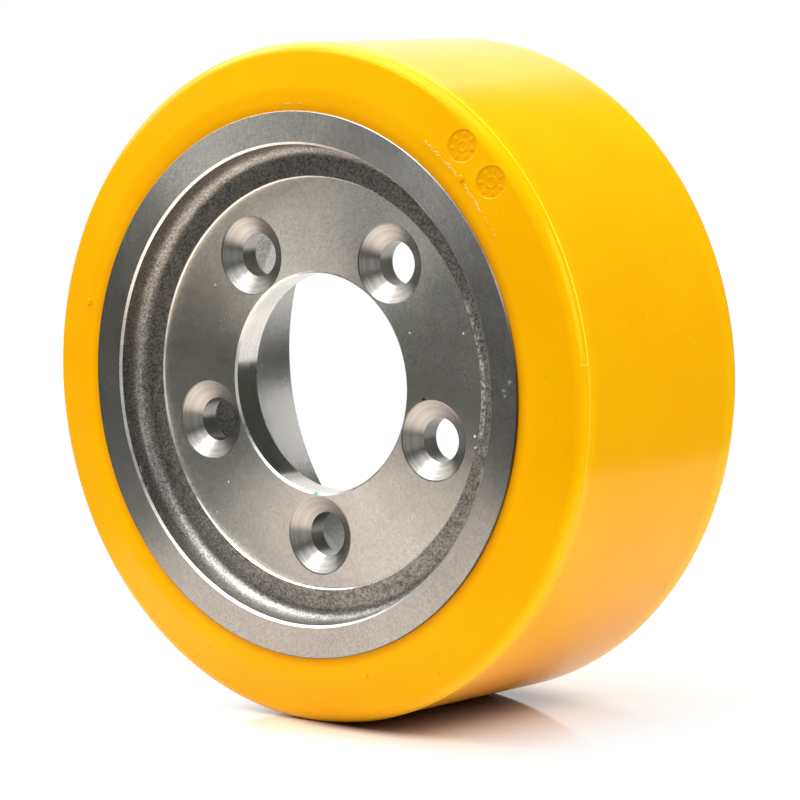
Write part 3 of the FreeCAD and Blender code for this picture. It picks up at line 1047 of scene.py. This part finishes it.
def lay_table():
    """The table. To the camera it fades to white away from the wheel. Its colour is a painted pool of light
    near the wheel, dark far off where the turned faces mirror it, with painted shade at its right and a
    brown painted shadow beside the place where the wheel stands."""
    middle = (TABLE_LEFT + TABLE_RIGHT) / 2, (TABLE_FRONT + TABLE_BACK) / 2, FLOOR
    bpy.ops.object.select_all(action="DESELECT")
    bpy.ops.mesh.primitive_plane_add(size=1, location=middle)
    bpy.context.object.scale = TABLE_RIGHT - TABLE_LEFT, TABLE_BACK - TABLE_FRONT, 1
    table = name_piece("white_table")
    material, nodes = new_material("white_board")
    x, y = nodes.coordinates(nodes.point(), "XY")
    # Painted light: the board is lit near the wheel and dark far off
    ahead = nodes.ramp(y, *LIT_AHEAD) * nodes.ramp(x, *LIT_AHEAD_RIGHT, 1.0, 0.0)
    lit = nodes.math("MAXIMUM", nodes.ramp(y, *LIT_NEAR), ahead) * nodes.ramp(x, *LIT_LEFT)
    board = nodes.colour(lit, TABLE_DARK, TABLE_LIT)
    # Painted shadow: the board is painted dark brown beside the place where the wheel stands
    painted_contact_shadow = nodes.ramp(x, *CONTACT_SHADOW_LEFT) * nodes.ramp(x, *CONTACT_SHADOW_RIGHT, 1.0, 0.0)
    painted_contact_shadow = painted_contact_shadow * nodes.ramp(y, *CONTACT_SHADOW_FRONT) * nodes.ramp(y, *CONTACT_SHADOW_BACK, 1.0, 0.0)
    board = nodes.colour(painted_contact_shadow, board, TABLE_SHADOW_BROWN)
    # Painted shade: the board is painted grey towards its right edge
    grey = nodes.ramp(x, *SHADE_RIGHT) * nodes.ramp(y, *SHADE_FRONT)
    board = nodes.colour(grey, board, TABLE_SHADE_GREY)
    surface = principled(nodes, Base_Color=board, Roughness=TABLE_ROUGHNESS)
    white = nodes.node("Emission", {}, {"Color": WHITE, "Strength": 1.0})
    in_front = (0 - y - RIM_WIDTH / 2) * SOONER_IN_FRONT
    beside = nodes.math("MAXIMUM", nodes.math("MAXIMUM", y - RIM_WIDTH / 2, in_front), 0.0)
    aside = nodes.math("MAXIMUM", x, x * -SOONER_AT_LEFT)
    away = nodes.ramp(nodes.distance(aside, beside), *WHITE_AWAY)
    camera, passed_on = nodes.rays()
    shown = away * nodes.math("MAXIMUM", camera, passed_on * nodes.ramp(y, *MIRRORED_BACK))
    nodes.finish(nodes.node("MixShader", {}, {0: shown, 1: surface, 2: white}))
    paint(table, material)


def light_room():
    """A dim room: white to the camera, with a white backdrop behind the wheel in its reflections."""
    world = bpy.data.worlds.new("dim_room")
    world.use_nodes = True
    world.cycles.sampling_method = "NONE"
    bpy.context.scene.world = world
    nodes = Nodes(world.node_tree)
    direction = nodes.node("TexCoord", {}, {}, "Generated")
    behind = -math.sin(CAMERA_AZIMUTH), math.cos(CAMERA_AZIMUTH), BACKDROP_RISE
    facing = nodes.node("VectorMath", {"operation": "DOT_PRODUCT"}, {0: direction, 1: behind}, "Value")
    backdrop = nodes.ramp(facing, *BACKDROP_EDGE)
    camera, passed_on = nodes.rays()
    shown = nodes.math("MAXIMUM", camera, passed_on * backdrop)
    level = shown + (1 - shown) * (passed_on * ROOM_DIM + (1 - passed_on) * ROOM_AMBIENT)
    tint = nodes.colour(shown, ROOM_TINT, WHITE)
    nodes.finish(nodes.node("Background", {}, {"Color": tint, "Strength": level}), "OutputWorld")


def softbox(name, azimuth, elevation, brightness):
    """A square soft lamp that faces the wheel, as bright as a white surface times its brightness."""
    turn, rise = math.radians(azimuth), math.radians(elevation)
    outward = Vector((math.sin(turn) * math.cos(rise), -math.cos(turn) * math.cos(rise), math.sin(rise)))
    bpy.ops.object.light_add(type="AREA", location=outward * LAMP_DISTANCE,
                             rotation=outward.to_track_quat("Z", "Y").to_euler())
    lamp = bpy.context.object
    lamp.name = name
    lamp.data.size = LAMP_SIZE
    lamp.data.energy = brightness * math.pi * LAMP_SIZE ** 2


def set_camera():
    """The photograph's camera."""
    back = Vector((math.sin(CAMERA_AZIMUTH) * math.cos(CAMERA_ELEVATION),
                   -math.cos(CAMERA_AZIMUTH) * math.cos(CAMERA_ELEVATION),
                   math.sin(CAMERA_ELEVATION)))
    right = Vector((math.cos(CAMERA_AZIMUTH), math.sin(CAMERA_AZIMUTH), 0))
    up = back.cross(right)
    aim = right * AIM_RIGHT + up * AIM_UP
    turn = (-back).to_track_quat("-Z", "Y").to_euler()
    bpy.ops.object.camera_add(location=aim + back * CAMERA_DISTANCE, rotation=turn)
    camera = bpy.context.object
    camera.data.lens = CAMERA_LENS
    bpy.context.scene.camera = camera


wheel_centre = model_wheel_centre()
paint(wheel_centre, turned_iron(), cast_skin(), reamed_iron(), cut_edge(), bored_iron())
skin_slot, seat_slot, edge_slot, bore_slot = 1, 2, 3, 4
paint_faces(wheel_centre, skin_slot, lambda middle, normal: in_dish(middle) or in_barrel(middle))
paint_faces(wheel_centre, seat_slot, lambda middle, normal: near_seat(middle))
paint_faces(wheel_centre, edge_slot, on_cut_edge)
paint_faces(wheel_centre, bore_slot, on_bore)
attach(wheel_centre, "root")
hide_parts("wheel_centre")

tread = model_tread()
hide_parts("tread")
yellow = moulded_polyurethane()
pale = torn_polyurethane()
tread_pieces = {
    tread: yellow,
    model_stamp_dials(): yellow,
    model_pips(): yellow,
    model_strand(): pale,
    model_flakes(): pale,
}
for piece, finish in tread_pieces.items():
    paint(piece, finish)
    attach(piece, "root")

lay_table()
light_room()
for name, place in LAMPS.items():
    softbox(name, *place)
set_camera()
bpy.context.scene.view_settings.view_transform = "Standard"
